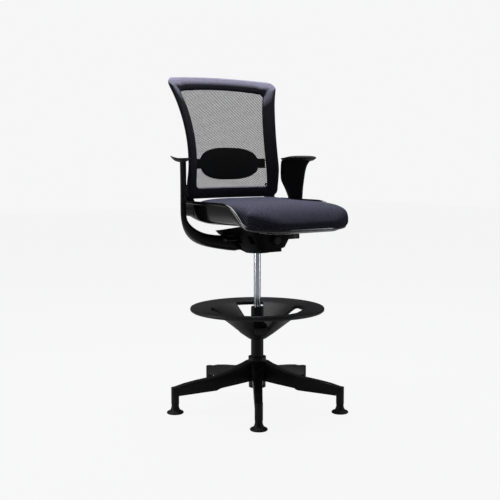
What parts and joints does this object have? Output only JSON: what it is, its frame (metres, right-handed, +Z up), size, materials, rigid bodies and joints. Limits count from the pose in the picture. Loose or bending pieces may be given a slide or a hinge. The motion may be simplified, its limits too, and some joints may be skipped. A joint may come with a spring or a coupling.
{
  "type": "drafting chair",
  "caption": "Drafting chair with a gas-lift column on a star base with glides, a height-adjustable foot ring, U-shaped arms, padded seat and a curved mesh back with a lumbar pad.",
  "frame": {"origin": "middle of the chair's box on the floor; the column's axis is 22 mm nearer the seat's front, at y = -0.022", "axes": "+Z up, the chair faces -Y, +X to the sitter's left"},
  "size_m": [0.7108, 0.7, 1.32],
  "materials": {
    "base_plastic": "satin black moulded",
    "glide_plastic": "black, low sheen",
    "column_paint": "black powder coat",
    "chrome": "polished",
    "steel": "zinc plated",
    "ring_plastic": "dark grey, soft sheen",
    "gloss_black": "glossy black moulded",
    "arm_black": "satin black moulded",
    "rubber": "black",
    "black_paint": "black paint",
    "seat_fabric": "slate grey-blue mesh weave",
    "back_mesh": "open black mesh",
    "frame_plastic": "black moulded",
    "lumbar_black": "black soft plastic",
    "brass": "plain"
  },
  "bodies": {
    "root": {"base_spider": "base_plastic", "glide_stems": "steel", "floor_glides": "glide_plastic", "lift_outer_tube": "column_paint", "guide_bush": "glide_plastic", "thrust_bearing": "steel"},
    "foot_ring": {"footring_bowl": "ring_plastic", "footring_sleeve": "glide_plastic"},
    "ring_lock": {"locking_collar": "glide_plastic"},
    "swivel": {"bearing_washer": "steel", "rubber_buffer": "rubber", "piston_rod": "steel", "piston_head": "black_paint", "rod_clip": "steel"},
    "chassis": {"gas_cylinder": "chrome", "rod_guide": "glide_plastic", "mechanism_housing": "black_paint", "mechanism_cover": "arm_black", "tilt_axle": "steel", "tilt_spring": "steel", "lever_pivot": "steel", "yoke_left": "arm_black", "yoke_right": "arm_black", "yoke_bolts": "steel", "arm_pad_left": "arm_black", "arm_pad_right": "arm_black", "arm_pad_screws": "steel"},
    "valve": {"valve_pin": "brass"},
    "lift_handle": {"lift_lever": "arm_black"},
    "lock_handle": {"tilt_lock_lever": "arm_black"},
    "tension": {"tension_screw": "steel", "tension_knob": "glide_plastic"},
    "seat": {"seat_bracket": "black_paint", "seat_shell": "gloss_black", "seat_pad": "seat_fabric", "seat_screws": "steel", "back_pivot_pins": "steel"},
    "back": {"back_upright_left": "arm_black", "back_upright_right": "arm_black", "back_frame": "frame_plastic", "back_mesh": "back_mesh", "back_screws": "black_paint"},
    "lumbar": {"lumbar_pad": "lumbar_black", "lumbar_slides": "lumbar_black"}
  },
  "joints": [
    {"name": "foot_ring_height", "type": "slide", "parent": "root", "child": "foot_ring", "axis": [0, 0, 1], "range_m": [-0.06, 0.008]},
    {"name": "ring_lock_turn", "type": "hinge", "parent": "foot_ring", "child": "ring_lock", "pos_m": [0, -0.022, 0.32], "axis": [0, 0, 1], "range_deg": [0, 60]},
    {"name": "swivel", "type": "hinge", "parent": "root", "child": "swivel", "pos_m": [0, -0.022, 0.1], "axis": [0, 0, 1], "continuous": true},
    {"name": "seat_lift", "type": "slide", "parent": "swivel", "child": "chassis", "axis": [0, 0, 1], "range_m": [-0.2, 0.02]},
    {"name": "valve_press", "type": "slide", "parent": "chassis", "child": "valve", "axis": [0, 0, 1], "range_m": [-0.003, 0]},
    {"name": "lift_lever_lift", "type": "hinge", "parent": "chassis", "child": "lift_handle", "pos_m": [-0.034, -0.022, 0.6783], "axis": [0, 1, 0], "range_deg": [0, 4.5], "stiffness_Nm_per_rad": 6, "springref_deg": -4.58},
    {"name": "tilt_lock_turn", "type": "hinge", "parent": "chassis", "child": "lock_handle", "pos_m": [0.05, -0.098, 0.684], "axis": [1, 0, 0], "range_deg": [0, 25]},
    {"name": "tension_turn", "type": "hinge", "parent": "chassis", "child": "tension", "pos_m": [0, -0.132, 0.678], "axis": [0, -1, 0], "range_deg": [-360, 360]},
    {"name": "seat_tilt", "type": "hinge", "parent": "chassis", "child": "seat", "pos_m": [0, -0.064, 0.696], "axis": [-1, 0, 0], "range_deg": [0, 7], "stiffness_Nm_per_rad": 400, "springref_deg": -6.88},
    {"name": "back_recline", "type": "hinge", "parent": "seat", "child": "back", "pos_m": [0, 0.143, 0.79], "axis": [-1, 0, 0], "range_deg": [0, 11], "stiffness_Nm_per_rad": 120, "springref_deg": -14.32},
    {"name": "lumbar_height", "type": "slide", "parent": "back", "child": "lumbar", "axis": [0, 0, 1], "range_m": [-0.02, 0.025]}
  ],
  "couplings": [
    {"joint": "back_recline", "follows": "seat_tilt", "ratio": 1.5714},
    {"joint": "valve_press", "follows": "lift_lever_lift", "m_per_rad": -0.038}
  ]
}
